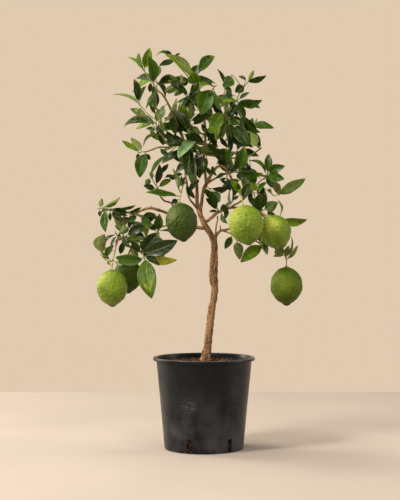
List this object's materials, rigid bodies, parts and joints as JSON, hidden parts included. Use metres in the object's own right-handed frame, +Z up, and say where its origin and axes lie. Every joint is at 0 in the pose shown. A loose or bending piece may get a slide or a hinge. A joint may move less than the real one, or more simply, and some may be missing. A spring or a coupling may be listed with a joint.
{
  "type": "potted lemon tree",
  "caption": "Small lemon tree with a slender bare trunk, an open leafy crown and unripe hanging fruit, in a tapered black plastic nursery pot.",
  "frame": {"origin": "centre of the pot's flat underside, where the part stands", "axes": "+Z up along the trunk, front of the tree towards -Y, +X to the right as seen from the front"},
  "size_m": [0.468, 0.2946, 0.8712],
  "materials": {
    "pot_plastic": "satin",
    "potting_mix": "matte",
    "bark": "matte",
    "rind_dark": "satin",
    "rind_light": "satin",
    "leaf": "satin"
  },
  "bodies": {
    "root": {"pot": "pot_plastic", "soil": "potting_mix", "trunk_and_limbs": "bark", "lemon_1": "rind_dark", "lemon_2": "rind_light", "lemon_3": "rind_dark", "lemon_4": "rind_light", "lemon_5": "rind_light", "lemon_6": "rind_dark", "fruit_stalk_1": "leaf", "fruit_stalk_2": "leaf", "fruit_stalk_4": "leaf", "fruit_stalk_6": "leaf", "spray_top_left": "leaf", "spray_left_upper": "leaf", "spray_left_middle": "leaf", "spray_centre_arc": "leaf", "spray_centre_hanging": "leaf", "spray_left_low": "leaf", "spray_top_mid": "leaf", "spray_top_left_of_centre": "leaf", "spray_top_centre": "leaf", "spray_top_right": "leaf", "spray_centre_right": "leaf", "spray_centre_left": "leaf", "spray_mid_right": "leaf", "spray_v_pair": "leaf", "spray_arch_left_leaf": "leaf", "spray_beside_fruit": "leaf", "spray_under_arch": "leaf", "spray_arch_crown": "leaf", "spray_right": "leaf", "spray_right_inner": "leaf", "spray_behind_fruit5": "leaf", "spray_under_fruits": "leaf", "spray_fruit_left_foot": "leaf", "spray_far_left": "leaf", "spray_arch_middle": "leaf", "spray_arch_side": "leaf", "spray_oval_leaf": "leaf", "spray_lower_left": "leaf", "spray_inner_left": "leaf", "spray_arch_foot": "leaf"}
  },
  "joints": []
}
